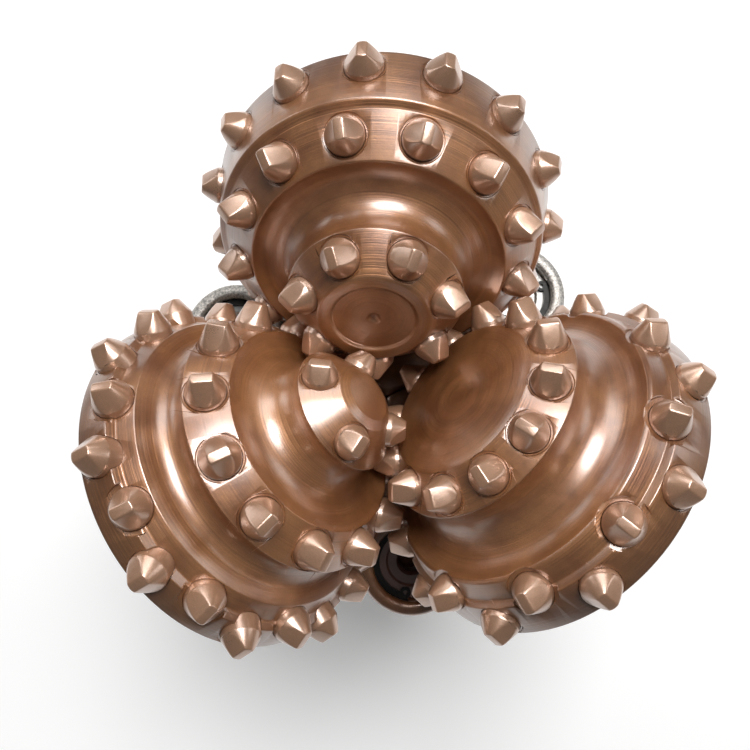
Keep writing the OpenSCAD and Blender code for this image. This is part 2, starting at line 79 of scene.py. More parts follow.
# Drop of the cones' axes in degrees, their offset from the bit's axis and the hole's radius in millimetres
JOURNAL_DROP = 33
AXIS_OFFSET = 6.0
HOLE_RADIUS = 107.95

# Lands of the cones from nose to heel, as (radius, distance from where the axes cross), in millimetres
HEEL = ((64.6, 82.2), (53.6, 87.6))
GAUGE_LAND = ((60.7, 59.5), HEEL[0])
MIDDLE_LAND = ((46.4, 45.6), (58.2, 58.5))
NOSE_LAND = ((19.6, 19.3), (31.6, 30.6))
INNER_LAND_B = ((29.9, 30.9), (41.8, 40.6))
INNER_LAND_C = ((38.4, 38.2), (49.0, 49.4))
SPEAR_LAND = ((12.2, 14.0), (22.4, 23.6))
SECOND_LAND_B = ((56.2, 60.6), (59.0, 67.2))
SECOND_LAND_C = ((55.6, 64.8), (58.9, 70.0))
INSERT_DEPTH = 9

# Other turned outlines, as (radius, height) in millimetres
BORE = [(52.4, 88.5), (34.2, 88.5), (34.2, 81.0), (31.5, 81.0), (31.5, 59.0), (25.4, 59.0), (25.4, 44.3),
        (18.17, 44.3), (18.17, 35.1), (0, 35.1)]
BUTTON_POCKET = [(0, -3.5), (3.55, -3.5), (3.55, 6), (0, 6)]
NOZZLE = [(10, -29.9), (16.95, -29.9), (16.95, -6), (11.6, -6), (10.6, -7), (6.8, -7), (5.6, -8.4), (5.6, -15),
          (8, -23), (10, -29.9)]
PIN = [(28.575, 95.25), (28.575, 0), (41.1, 0), (42.6, 1.5), (54.5, 95.25), (57.9, 97.25), (57.9, 107.95),
       (67.45, 107.95), (69.85, 110.35), (69.85, 111.6), (69.4, 112.0), (34, 112.0), (34, 107.95), (28.575, 95.25)]


# Sizes and colours ---------------------------------------------------------------------------------------------------
def length(label, about, value):
    return FloatProperty(name=label, description=about, default=value, min=0, unit="LENGTH", precision=5)


def colour(label, about, value):
    return FloatVectorProperty(name=label, description=about, default=value, min=0, max=1, subtype="COLOR")


def share(label, about, value):
    return FloatProperty(name=label, description=about, default=value, min=0, max=1, subtype="FACTOR")


class ConeSizes(bpy.types.PropertyGroup):
    """Shapes of the cones and their inserts."""

    edge_round: length("Turned edge", "Radius left on the turned edges of a cone", 0.9 * MM)
    seat_round: length("Seat edge", "Break on the rims of the insert seats", 0.3 * MM)
    facets: IntProperty(name="Facets", description="Steps round a cone", default=168, min=24)
    crest_length: length("Crest length", "Length of a chisel's crest", 7.0 * MM)
    crest_width: length("Crest width", "Width of a chisel's crest", 3.3 * MM)
    crest_round: length("Crest edge", "Radius on the edges of a chisel", 0.45 * MM)


class BodySizes(bpy.types.PropertyGroup):
    """Shapes of the legs, bosses, pin and welds."""

    forging_grain: length("Forging grain", "Finest form kept on a forged leg", 1.3 * MM)
    casting_grain: length("Casting grain", "Finest form kept on a cast boss", 0.8 * MM)
    thread_pitch: length("Thread pitch", "Distance between the ridges of the pin thread", 5.08 * MM)
    thread_height: length("Thread height", "Height of a thread ridge above its root", 2.9 * MM)
    bead_width: length("Bead width", "Width of a weld bead", 7 * MM)
    bead_crown: length("Bead crown", "Height of a weld bead", 1.3 * MM)


class FinishColours(bpy.types.PropertyGroup):
    """Colours of paint and metal."""

    bronze: colour("Bronze", "Paint where the spray lies thick", (0.42, 0.182, 0.066))
    brown: colour("Brown", "Paint where the spray lies thin", (0.215, 0.072, 0.020))
    # Painted highlight: the inserts wear the same bronze paint as the cones, given lighter here.
    crest: colour("Insert bronze", "Paint on the inserts", (0.53, 0.29, 0.17))
    steel: colour("Steel", "Bare machined steel", (0.52, 0.51, 0.49))
    casting: colour("Casting", "Grit-blasted cast steel", (0.60, 0.57, 0.53))
    bushing: colour("Bushing bronze", "Bearing bronze", (0.72, 0.50, 0.26))
    black: colour("Black", "Rubber and phosphated spring steel", (0.018, 0.018, 0.02))
    paint_roughness: share("Paint roughness", "Roughness of the bronze paint", 0.42)
    lathe_marks: share("Lathe marks", "Strength of the turning marks under the paint", 0.6)


class StageLook(bpy.types.PropertyGroup):
    """Floor, lamps and camera."""

    floor: colour("Floor", "Colour of the floor", (0.93, 0.93, 0.93))
    lift: share("Floor lift", "Light added to the floor where it is seen", 0.16)
    sky: FloatProperty(name="Sky", description="Brightness of the even light all round", default=0.08, min=0)
    key: FloatProperty(name="Key", description="Power of the overhead softbox, in watts", default=33.0, min=0)
    fill: FloatProperty(name="Fill", description="Power of the softbox behind, in watts", default=10.0, min=0)
    side: FloatProperty(name="Side", description="Power of each side softbox, in watts", default=2.6, min=0)
    eye: FloatVectorProperty(name="Eye", description="Place of the camera", default=(0.0, -0.03576, 0.55088),
                             subtype="TRANSLATION", unit="LENGTH")
    turn: FloatVectorProperty(name="Turn", description="Turn of the camera", default=(0.1266, 0.0088, 0.0629),
                              subtype="EULER", unit="ROTATION")
    lens: FloatProperty(name="Lens", description="Focal length on a 36 mm frame, in millimetres", default=36.88)


# Shader helpers ------------------------------------------------------------------------------------------------------
class Wire:
    """A shader socket that takes part in sums like a number."""

    def __init__(self, tree, socket):
        self.tree = tree
        self.socket = socket

    def work(self, operation, *values):
        node = self.tree.nodes.new("ShaderNodeMath")
        node.operation = operation
        for socket, value in zip(node.inputs, values):
            if isinstance(value, Wire):
                self.tree.links.new(value.socket, socket)
            else:
                socket.default_value = value
        return Wire(self.tree, node.outputs[0])

    def __add__(self, other):
        return self.work("ADD", self, other)

    def __sub__(self, other):
        return self.work("SUBTRACT", self, other)

    def __rsub__(self, other):
        return self.work("SUBTRACT", other, self)

    def __mul__(self, other):
        return self.work("MULTIPLY", self, other)

    def __truediv__(self, other):
        return self.work("DIVIDE", self, other)

    def __rtruediv__(self, other):
        return self.work("DIVIDE", other, self)

    def __pow__(self, other):
        return self.work("POWER", self, other)

    __radd__ = __add__
    __rmul__ = __mul__

    def between(self, low, high):
        """0 below low, 1 above high, smooth between them."""
        ratio = (self - low) / (high - low)
        ratio = ratio.work("MINIMUM", ratio.work("MAXIMUM", ratio, 0.0), 1.0)
        return ratio * ratio * (3.0 - 2.0 * ratio)


def socket_name(word):
    """Name of a shader socket for a keyword."""
    return word.replace("_", " ").title().replace("Ior", "IOR")


class Finish:
    """A procedural material being put together on one Principled shader."""

    def __init__(self, name, **constants):
        self.material = bpy.data.materials.new(name)
        self.material.use_nodes = True
        self.tree = self.material.node_tree
        self.shader = self.tree.nodes["Principled BSDF"]
        for socket, value in constants.items():
            self.shader.inputs[socket_name(socket)].default_value = value

    def node(self, kind, settings, values, out=0):
        """Any node: its settings first, then values or wires by socket."""
        made = self.tree.nodes.new("ShaderNode" + kind)
        for name, value in settings.items():
            setattr(made, name, value)
        for socket, value in values.items():
            if isinstance(value, Wire):
                self.tree.links.new(value.socket, made.inputs[socket])
            else:
                made.inputs[socket].default_value = value
        return Wire(self.tree, made.outputs[out])

    def drive(self, socket, wire):
        self.tree.links.new(wire.socket, self.shader.inputs[socket])

    def spot(self, place=None):
        """Object coordinates, turned into a piece's own frame if a place is given."""
        here = self.node("TexCoord", {}, {}, "Object")
        if place is None:
            return here
        back = place.inverted()
        return self.node("Mapping", {"vector_type": "POINT"},
                         {"Vector": here, "Location": back.to_translation(), "Rotation": back.to_euler()})

    def noise(self, vector, scale, detail=3.0, rough=0.5, warp=0.0):
        return self.node("TexNoise", {}, {"Vector": vector, "Scale": scale, "Detail": detail, "Roughness": rough,
                                          "Distortion": warp})

    def line_noise(self, along, scale, detail=2.0):
        return self.node("TexNoise", {"noise_dimensions": "1D"}, {"W": along, "Scale": scale, "Detail": detail})

    def mix(self, amount, first, second):
        def paint(value):
            return value if isinstance(value, Wire) else (*value, 1.0)
        return self.node("Mix", {"data_type": "RGBA"}, {0: amount, 6: paint(first), 7: paint(second)}, 2)

    def tint(self, picture, amount):
        """Brightens or darkens a colour by a wire round 1."""
        return self.node("Mix", {"data_type": "RGBA", "blend_type": "MULTIPLY"},
                         {0: 1.0, 6: picture, 7: self.node("CombineColor", {}, {0: amount, 1: amount, 2: amount})}, 2)

    def relief(self, height, depth, under=None):
        """Bump of a real depth in metres for a height that runs from 0 to 1."""
        values = {"Strength": 1.0, "Distance": depth, "Height": height}
        if under is not None:
            values["Normal"] = under
        return self.node("Bump", {}, values)


def shaded(tone, amount):
    """A lighter or darker tone."""
    return tuple(min(1.0, c * amount) for c in tone)


def sprayed_bronze(name, thick, thin, place=None, turned=0.0, roughness=None, mottle=1.0):
    """Bronze spray paint: flake and pigment in soft clouds under a broad pale sheen, with turning marks below and, on a
    turned cone, painted shade darkening it towards the heel.
    """
    colours = bpy.context.scene.finish_colours
    rough = colours.paint_roughness if roughness is None else roughness
    paint = Finish(name, coat_weight=1.0, coat_roughness=0.28, coat_ior=2.2)
    spot = paint.spot()
    clouds = paint.noise(spot, 26.0, 4.0, 0.55, 0.4)
    patches = paint.noise(spot, 95.0, 5.0, 0.6, 0.2)
    flake = paint.noise(spot, 2600.0, 1.0)
    peel = paint.noise(spot, 620.0, 2.5, 0.55)
    base = paint.mix((clouds * 0.65 + patches * 0.35).between(0.34, 0.64), thin, thick)
    amount = (flake - 0.5) * 0.5 + (patches - 0.5) * 0.4 * mottle + 1.0
    wet = (clouds - 0.5) * 0.26 * mottle + (patches - 0.5) * 0.24 * mottle + (flake - 0.5) * 0.10 + rough
    relief = paint.relief(peel, 0.05 * MM)
    relief = paint.relief(patches, 0.16 * MM * mottle, relief)
    if turned:
        own = paint.spot(place)
        x, y, along = (paint.node("SeparateXYZ", {}, {"Vector": own}, axis) for axis in "XYZ")
        ways = (x * x + y * y) ** 0.5 * 0.7 + along
        cuts = paint.line_noise(ways, 1300.0, 2.0)
        steps = paint.line_noise(ways, 380.0, 1.0)
        marks = cuts * 0.6 + steps * 0.4
        fade = paint.noise(own, 34.0, 3.0).between(0.3, 0.62) * 0.7 + 0.3
        relief = paint.relief(marks * fade, 0.55 * MM * turned, relief)
        # Painted shade: the paint of a cone is darkened by up to 38 % towards its heel and gauge rims.
        heel_painted_shade = along.between(0.058, 0.085)
        amount = (amount + (marks - 0.5) * 1.4 * fade * turned) * (1.0 - heel_painted_shade * 0.38)
        wet = wet + (marks - 0.5) * 0.3 * turned
    paint.drive("Base Color", paint.tint(base, amount))
    paint.drive("Metallic", (patches - 0.5) * 0.3 + 0.5)
    paint.drive("Roughness", wet)
    paint.drive("Normal", relief)
    return paint.material


def machined_steel(name, tone, roughness, grain=700.0, depth=0.03, spots=0.0):
    """Bare metal: fine grain, faint stains and uneven polish."""
    metal = Finish(name, metallic=1.0)
    spot = metal.spot()
    stain = metal.noise(spot, 60.0, 4.0, 0.6, 0.3)
    fine = metal.noise(spot, grain, 4.0, 0.6)
    pits = metal.noise(spot, grain * 0.35, 3.0, 0.7).between(0.52, 0.7)
    base = metal.mix(stain, shaded(tone, 0.72), shaded(tone, 1.1))
    base = metal.tint(base, 1.0 - pits * spots + (fine - 0.5) * 0.3)
    metal.drive("Base Color", base)
    metal.drive("Roughness", (stain - 0.5) * 0.22 + (fine - 0.5) * 0.12 + roughness)
    metal.drive("Normal", metal.relief(fine - pits * spots, depth * MM))
    return metal.material


def blasted_casting(name, tone):
    """Grit-blasted casting: bright grains, dark pits and a rough skin."""
    metal = Finish(name, metallic=0.85)
    spot = metal.spot()
    grit = metal.noise(spot, 900.0, 5.0, 0.75)
    lumps = metal.noise(spot, 210.0, 4.0, 0.6)
    stain = metal.noise(spot, 40.0, 3.0, 0.6)
    base = metal.mix(grit.between(0.35, 0.65), shaded(tone, 0.45), shaded(tone, 1.25))
    base = metal.mix(stain.between(0.5, 0.75) * 0.5, base, (0.34, 0.26, 0.20))
    metal.drive("Base Color", base)
    metal.drive("Roughness", (grit - 0.5) * 0.3 + 0.5)
    relief = metal.relief(lumps, 0.35 * MM)
    metal.drive("Normal", metal.relief(grit, 0.22 * MM, relief))
    return metal.material


def moulded_rubber(name, tone):
    """Black rubber with a dull bloom."""
    rubber = Finish(name, metallic=0.0)
    spot = rubber.spot()
    bloom = rubber.noise(spot, 120.0, 4.0, 0.6)
    fine = rubber.noise(spot, 1500.0, 2.0)
    rubber.drive("Base Color", rubber.mix(bloom, tone, shaded(tone, 2.2)))
    rubber.drive("Roughness", bloom * 0.25 + 0.45)
    rubber.drive("Normal", rubber.relief(fine, 0.02 * MM))
    return rubber.material


# Mesh helpers --------------------------------------------------------------------------------------------------------
def cone_place(letter):
    """Frame of a cone: Z outwards along its axis, X upwards."""
    joint = next(j for j in frame["joints"] if j["name"] == f"cone_{letter}_spin")
    out = Vector(joint["axis"]).normalized()
    up = (Vector((0, 0, 1)) - out * out.z).normalized()
    return Matrix.Translation(joint["pos_m"]) @ Matrix((up, out.cross(up), out)).transposed().to_4x4()


def jet_place(letter):
    """Frame of a nozzle: Z outwards along its axis, with the boss's face at height 0."""
    turn = math.radians(LEG_AZIMUTH[letter] + JET_TURN)
    return (Matrix.Rotation(turn, 4, "Z") @ Matrix.Translation(JET_MOUTH)
            @ Matrix.Rotation(math.radians(JET_LEAN), 4, "Y"))


def arc(start, end, sag, steps=20):
    """Points of an arc that bulges to the left of the way from start to end."""
    start, end = Vector(start), Vector(end)
    way = end - start
    left = Vector((-way.y, way.x)).normalized()
    radius = (way.length_squared / 4 + sag * sag) / (2 * sag)
    centre = (start + end) / 2 + left * (sag - radius)
    first = math.atan2(start.y - centre.y, start.x - centre.x)
    half = math.acos((radius - sag) / radius)
    return [tuple(centre + radius * Vector((math.cos(first - 2 * half * i / steps),
                                            math.sin(first - 2 * half * i / steps)))) for i in range(steps + 1)]


def beside(point, out, along):
    """An outline point a little further out and along."""
    return (point[0] + out, point[1] + along)


def turned(points, facets, edge=0.0, corner=14.0):
    """A shape turned from (radius, height) points in millimetres; a bevel of an edge in metres is set on its corners
    first, but leaves them unrounded.
    """
    bm = bmesh.new()
    verts = [bm.verts.new((r * MM, 0, h * MM)) for r, h in points]
    for a, b in zip(verts, verts[1:]):
        bm.edges.new((a, b))
    if edge:
        bends = [v for v in verts[1:-1] if v.link_edges[0].calc_length() > edge * 0.7
                 and v.link_edges[1].calc_length() > edge * 0.7 and bend(v) > math.radians(corner)]
        bmesh.ops.bevel(bm, geom=bends, offset=edge, segments=4, profile=0.5, affect="VERTICES", clamp_overlap=True,
                        material=-1)
    bmesh.ops.spin(bm, geom=bm.verts[:] + bm.edges[:], cent=(0, 0, 0), axis=(0, 0, 1), angle=math.tau, steps=facets,
                   use_merge=True, use_duplicate=False)
    bmesh.ops.remove_doubles(bm, verts=bm.verts, dist=1e-6)
    bmesh.ops.recalc_face_normals(bm, faces=bm.faces)
    return bm


def bend(vert):
    """Angle by which a wire turns at a vertex."""
    ends = [e.other_vert(vert).co - vert.co for e in vert.link_edges]
    return math.pi - ends[0].angle(ends[1])


def join_in(bm, other, place):
    """Adds a placed copy of another shape."""
    mesh = bpy.data.meshes.new("copy")
    other.to_mesh(mesh)
    before = set(bm.verts)
    bm.from_mesh(mesh)
    bpy.data.meshes.remove(mesh)
    bmesh.ops.transform(bm, matrix=place, verts=[v for v in bm.verts if v not in before])


def put(name, bm, body, material, stands_for=(), crease=38.0):
    """Makes a finished piece of a shape that already lies in its place."""
    mesh = bpy.data.meshes.new(name)
    bm.to_mesh(mesh)
    bm.free()
    piece = bpy.data.objects.new(name, mesh)
    bpy.context.scene.collection.objects.link(piece)
    mesh.materials.clear()
    mesh.materials.append(material)
    mesh.shade_smooth()
    mesh.set_sharp_from_angle(angle=math.radians(crease))
    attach(piece, body)
    if stands_for:
        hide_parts(*stands_for)


def worked(mesh, change):
    """The mesh after a modifier that change() sets up on a stand-in object."""
    bench = bpy.data.objects.new("bench", mesh)
    bpy.context.scene.collection.objects.link(bench)
    change(bench)
    bpy.context.view_layer.update()
    done = bpy.data.meshes.new_from_object(bench.evaluated_get(bpy.context.evaluated_depsgraph_get()))
    bpy.data.objects.remove(bench)
    return done


def cut_away(mesh, tool):
    """The mesh with the tool's shape cut out of it."""
    tool_mesh = bpy.data.meshes.new("tool")
    tool.to_mesh(tool_mesh)
    tool.free()
    cutter = bpy.data.objects.new("cutter", tool_mesh)
    bpy.context.scene.collection.objects.link(cutter)

    def change(bench):
        step = bench.modifiers.new("cut", "BOOLEAN")
        step.operation = "DIFFERENCE"
        step.solver = "EXACT"
        step.object = cutter

    done = worked(mesh, change)
    bpy.data.objects.remove(cutter)
    return done


def moulded(node, grain, rounds, keep_above=None):
    """A smooth forged or cast skin of a solid: even facets, then soft edges."""
    bm = bmesh.new()
    bm.from_mesh(frame["nodes"][node].data)
    bmesh.ops.remove_doubles(bm, verts=bm.verts, dist=1e-6)
    mesh = bpy.data.meshes.new(node + "_skin")
    bm.to_mesh(mesh)
    bm.free()

    def change(bench):
        step = bench.modifiers.new("skin", "REMESH")
        step.mode = "VOXEL"
        step.voxel_size = grain

    mesh = worked(mesh, change)
    bm = bmesh.new()
    bm.from_mesh(mesh)
    for _ in range(rounds):
        bmesh.ops.smooth_vert(bm, verts=bm.verts, factor=0.5, use_axis_x=True, use_axis_y=True, use_axis_z=True)
    if keep_above is not None:
        cut = bmesh.ops.bisect_plane(bm, geom=bm.verts[:] + bm.edges[:] + bm.faces[:], plane_co=(0, 0, keep_above),
                                     plane_no=(0, 0, 1), clear_inner=True)
        bmesh.ops.triangle_fill(bm, edges=[e for e in cut["geom_cut"] if isinstance(e, bmesh.types.BMEdge)],
                                use_beauty=True, use_dissolve=True, normal=(0, 0, -1))
    bmesh.ops.recalc_face_normals(bm, faces=bm.faces)
    return bm


# Cones and inserts ---------------------------------------------------------------------------------------------------
def on_land(land, amount):
    """Point at a share of the way along a land."""
    return tuple(a + amount * (b - a) for a, b in zip(*land))


def lean_of(land):
    """Lean in degrees of what stands square on a land."""
    return math.degrees(math.atan2(land[1][1] - land[0][1], land[0][0] - land[1][0]))


def outlines():
    """Turned outlines of the three cones, nose to heel."""
    nose = NOSE_LAND[0][1]
    cone_a = [(0, nose + 3.4), (2.4, nose + 1), (14.6, nose + 1), (15.2, nose), *NOSE_LAND,
              *arc(beside(NOSE_LAND[1], -0.4, 0.6), MIDDLE_LAND[0], 8), MIDDLE_LAND[1], *GAUGE_LAND]
    cone_b = [(0, 30.2), (26.5, 30.2), *INNER_LAND_B,
              *arc(beside(INNER_LAND_B[1], -0.6, 0.6), beside(SECOND_LAND_B[0], -1.4, -0.6), 8), *SECOND_LAND_B,
              (61.8, 68.0), GAUGE_LAND[1]]
    cone_c = [(0, 12.5), (9, 12.5), *SPEAR_LAND, *arc(beside(SPEAR_LAND[1], -0.6, 0.4), INNER_LAND_C[0], 7.6),
              INNER_LAND_C[1], *arc(beside(INNER_LAND_C[1], -0.6, 0.8), (51.2, 63.8), 5.4), *SECOND_LAND_C,
              (62.2, 70.9), GAUGE_LAND[1]]
    return {"a": cone_a, "b": cone_b, "c": cone_c}


def insert_rows(letter):
    """Rows of a cone by node: seat, lean, number, turn of the first, diameter, height above the seat, rim."""
    number, turn = {"a": (15, -7.3), "b": (10, -9.2), "c": (10, -18.4)}[letter]
    seat = on_land(GAUGE_LAND, 0.67)
    rows = {f"gauge_inserts_{letter}": (seat, lean_of(GAUGE_LAND), number, turn, 13.5,
                                        gauge_height(seat, lean_of(GAUGE_LAND)), 0.9)}
    if letter == "a":
        rows["middle_inserts_a"] = (on_land(MIDDLE_LAND, 0.51), lean_of(MIDDLE_LAND), 13, -13.9, 13.5, 8.8, 0.9)
        rows["nose_inserts_a"] = (on_land(NOSE_LAND, 0.5), lean_of(NOSE_LAND), 7, -28.0, 13.5, 8.0, 0.9)
    if letter == "b":
        rows["second_inserts_b"] = ((59.3, 66.6), 128.0, 10, 8.8, 13.5, 8.0, 1.8)
        rows["inner_inserts_b"] = (on_land(INNER_LAND_B, 0.48), lean_of(INNER_LAND_B), 12, 31.8, 13.0, 8.3, 0.9)
    if letter == "c":
        rows["second_inserts_c"] = ((60.3, 70.4), 120.0, 10, -0.4, 13.5, 8.0, 1.8)
        rows["inner_inserts_c"] = (on_land(INNER_LAND_C, 0.5), lean_of(INNER_LAND_C), 12, 1.6, 13.5, 8.6, 0.9)
        rows["nose_inserts_c"] = (on_land(SPEAR_LAND, 0.48), lean_of(SPEAR_LAND), 4, -43.4, 12.0, 6.3, 0.9)
    return rows


def gauge_height(seat, lean):
    """Height at which the crests just reach the wall of the hole."""
    drop, lean = math.radians(JOURNAL_DROP), math.radians(lean)
    corner, spare, low, high = 3.65, 0.1, 8.8, 9.8

    def reach(height):
        far = 0.0
        for x in (-corner, corner):
            r = seat[0] + height * math.sin(lean) + x * math.cos(lean)
            s = seat[1] + height * math.cos(lean) - x * math.sin(lean)
            for turn in range(-60, 62, 2):
                t = math.radians(turn)
                far = max(far, math.hypot(s * math.cos(drop) + r * math.cos(t) * math.sin(drop),
                                          r * math.sin(t) + AXIS_OFFSET))
        return far

    return low + (HOLE_RADIUS - reach(low)) / (reach(high) - reach(low)) - spare


def along_row(place, row):
    """Frames of the seats of a row: Z out of the seat, X along the cone's side."""
    (radius, station), lean, number, turn = row[:4]
    for i in range(number):
        yield (place @ Matrix.Rotation(math.radians(turn + i * 360 / number), 4, "Z")
               @ Matrix.Translation((radius * MM, 0, station * MM)) @ Matrix.Rotation(math.radians(lean), 4, "Y"))


def chisel(size, height, sizes):
    """Hard-metal insert: a turned blank with two ground flanks that meet in a crest."""
    r, grip, foot = size / 2, 1.2, 0.6
    bm = turned([(0, -INSERT_DEPTH), (r - foot, -INSERT_DEPTH), (r, foot - INSERT_DEPTH), (r, grip),
                 (sizes.crest_length / MM / 2 + 0.15, height), (0, height)], 40)
    for side in (-1, 1):
        low = Vector((0, side * r * MM, grip * MM))
        slope = Vector((0, side * sizes.crest_width / 2, height * MM)) - low
        bmesh.ops.bisect_plane(bm, geom=bm.verts[:] + bm.edges[:] + bm.faces[:], plane_co=low,
                               plane_no=side * Vector((0, slope.z, -slope.y)), clear_outer=True)
        bmesh.ops.holes_fill(bm, edges=[e for e in bm.edges if e.is_boundary], sides=0)
    bmesh.ops.remove_doubles(bm, verts=[v for v in bm.verts if v.co.z > height / 2 * MM], dist=0.25 * MM)
    bmesh.ops.dissolve_limit(bm, angle_limit=math.radians(1), verts=bm.verts, edges=bm.edges)
    sharp = [e for e in bm.edges if len(e.link_faces) == 2 and e.calc_face_angle() > math.radians(19)
             and min(v.co.z for v in e.verts) > 0]
    bmesh.ops.bevel(bm, geom=sharp, offset=sizes.crest_round, segments=3, profile=0.5, affect="EDGES",
                    clamp_overlap=False, material=-1)
    bmesh.ops.recalc_face_normals(bm, faces=bm.faces)
    return bm


def seat_cutters(letter):
    """Cutters of a cone's counterbored insert seats and of the pockets of its heel buttons."""
    cutters = bmesh.new()
    rows = insert_rows(letter)
    slack, floor, step, clear = 0.12, -INSERT_DEPTH - 0.1, -0.5, 7
    for row in rows.values():
        seat, rim = row[4] / 2 + slack, row[4] / 2 + row[6]
        drill(cutters, [(0, floor), (seat, floor), (seat, step), (rim, step), (rim, clear), (0, clear)], 44, row)
    number, turn = rows[f"gauge_inserts_{letter}"][2:4]
    drill(cutters, BUTTON_POCKET, 32, (on_land(HEEL, 0.5), lean_of(HEEL), number, turn + 180 / number))
    return cutters


def drill(cutters, points, facets, row):
    """Adds a turned cutter at every seat of a row."""
    cutter = turned(points, facets)
    for seat in along_row(Matrix.Identity(4), row):
        join_in(cutters, cutter, seat)
    cutter.free()


def cone_piece(letter, sizes, material):
    """A turned cone with a counterbored seat for every insert."""
    profile = [*outlines()[letter], *HEEL]
    bm = turned([*outlines()[letter], HEEL[1], *BORE], sizes.facets, sizes.edge_round)
    mesh = bpy.data.meshes.new("blank")
    bm.to_mesh(mesh)
    bm.free()
    mesh = cut_away(mesh, seat_cutters(letter))
    bm = bmesh.new()
    bm.from_mesh(mesh)
    bmesh.ops.remove_doubles(bm, verts=bm.verts, dist=0.06 * MM)
    bmesh.ops.dissolve_degenerate(bm, edges=bm.edges, dist=0.01 * MM)
    sharp, nose_face, mouth = math.radians(42), 19 * MM, BORE[0][1] - 0.2
    rims = [e for e in bm.edges if len(e.link_faces) == 2 and e.calc_face_angle() > sharp
            and math.hypot(*e.verts[0].co.xy) > nose_face and e.verts[0].co.z < mouth * MM
            and outside_bore(e.verts[0].co)]
    bmesh.ops.bevel(bm, geom=rims, offset=sizes.seat_round, segments=2, profile=0.5, affect="EDGES",
                    clamp_overlap=False, material=-1)
    for vert in bm.verts:
        if outside_bore(vert.co) and vert.co.z < HEEL[1][1] * MM:
            keep_under(vert.co, profile)
    bmesh.ops.recalc_face_normals(bm, faces=bm.faces)
    bmesh.ops.transform(bm, matrix=cone_place(letter), verts=bm.verts)
    put(f"turned_cone_{letter}", bm, f"cone_{letter}_set", material, (f"cone_{letter}",), 34)


def keep_under(point, profile):
    """Draws a point near the heel or the nose in to the turned outline where a bevel has thrown it out."""
    point.z = max(point.z, min(station for _, station in profile) * MM)
    station, clear_of_rows = point.z / MM, 64
    if station < clear_of_rows:
        return
    widest = max(a[0] + (b[0] - a[0]) * (station - a[1]) / (b[1] - a[1]) for a, b in zip(profile, profile[1:])
                 if a[1] < b[1] and a[1] <= station <= b[1])
    radius = math.hypot(point.x, point.y) / MM
    if radius > widest:
        point.xy *= widest / radius


def outside_bore(point):
    """Whether a point of a cone lies beyond its bore, by a margin."""
    bore_radius, bore_end = 36, 33
    return math.hypot(point.x, point.y) / MM > bore_radius or point.z / MM < bore_end


# Operators -----------------------------------------------------------------------------------------------------------
class BIT_OT_turn_cones(bpy.types.Operator):
    """Turn the three cones, counterbore their seats and paint them"""

    bl_idname = "roller_bit.turn_cones"
    bl_label = "Turn Cones"

    def execute(self, context):
        scene = context.scene
        colours = scene.finish_colours
        for letter in LETTERS:
            paint = sprayed_bronze(f"bronze_on_cone_{letter}", colours.bronze, colours.brown, cone_place(letter),
                                   colours.lathe_marks, mottle=0.5)
            cone_piece(letter, scene.cone_sizes, paint)
        return {"FINISHED"}


class BIT_OT_press_inserts(bpy.types.Operator):
    """Grind the chisel inserts and press them into their rows"""

    bl_idname = "roller_bit.press_inserts"
    bl_label = "Press Inserts"

    def execute(self, context):
        sizes, colours = context.scene.cone_sizes, context.scene.finish_colours
        # Painted highlight: the inserts' bronze is lighter than the cones' same paint.
        lit_insert_paint = sprayed_bronze("lit_bronze_on_carbide", colours.crest, shaded(colours.crest, 0.78), roughness=0.32,
                                 mottle=0.5)
        for letter in LETTERS:
            for node, row in insert_rows(letter).items():
                blank = chisel(row[4], row[5], sizes)
                bm = bmesh.new()
                for seat in along_row(cone_place(letter), row):
                    join_in(bm, blank, seat)
                blank.free()
                put("ground_" + node, bm, f"cone_{letter}_set", lit_insert_paint, (node,), 30)
        return {"FINISHED"}


class BIT_OT_forge_legs(bpy.types.Operator):
    """Give the legs the soft edges of forgings"""

    bl_idname = "roller_bit.forge_legs"
    bl_label = "Forge Legs"

    def execute(self, context):
        sizes, colours = context.scene.body_sizes, context.scene.finish_colours
        paint = sprayed_bronze("bronze_on_legs", shaded(colours.bronze, 0.9), shaded(colours.brown, 0.9), mottle=1.3)
        for letter in LETTERS:
            bm = moulded(f"leg_{letter}", sizes.forging_grain, 4, keep_above=SHANK_FOOT)
            put(f"forged_leg_{letter}", bm, "bit_body", paint, (f"leg_{letter}",), 50)
        return {"FINISHED"}


class BIT_OT_cast_bosses(bpy.types.Operator):
    """Give the jet bosses the skin of castings and turn their nozzles"""

    bl_idname = "roller_bit.cast_bosses"
    bl_label = "Cast Jet Bosses"

    def execute(self, context):
        sizes, colours = context.scene.body_sizes, context.scene.finish_colours
        bare = blasted_casting("blasted_casting", colours.casting)
        painted = sprayed_bronze("bronze_on_casting", colours.bronze, colours.brown, mottle=1.5)
        bright = machined_steel("ground_nozzle", shaded(colours.steel, 1.25), 0.32, spots=0.3)
        # The bottom nozzle's bronze is given dark red-brown, much darker than the paint on its boss.
        dark_nozzle_bronze = sprayed_bronze("bronze_on_nozzle", (0.20, 0.075, 0.05), (0.09, 0.03, 0.02), mottle=1.2)
        for letter in LETTERS:
            bm = moulded(f"jet_boss_{letter}", sizes.casting_grain, 3)
            put(f"cast_jet_boss_{letter}", bm, "bit_body", painted if letter == "c" else bare,
                (f"jet_boss_{letter}",), 50)
            bm = turned(NOZZLE, 72)
            bmesh.ops.transform(bm, matrix=jet_place(letter), verts=bm.verts)
            put(f"turned_nozzle_{letter}", bm, "bit_body", dark_nozzle_bronze if letter == "c" else bright,
                (f"nozzle_{letter}",))
        return {"FINISHED"}


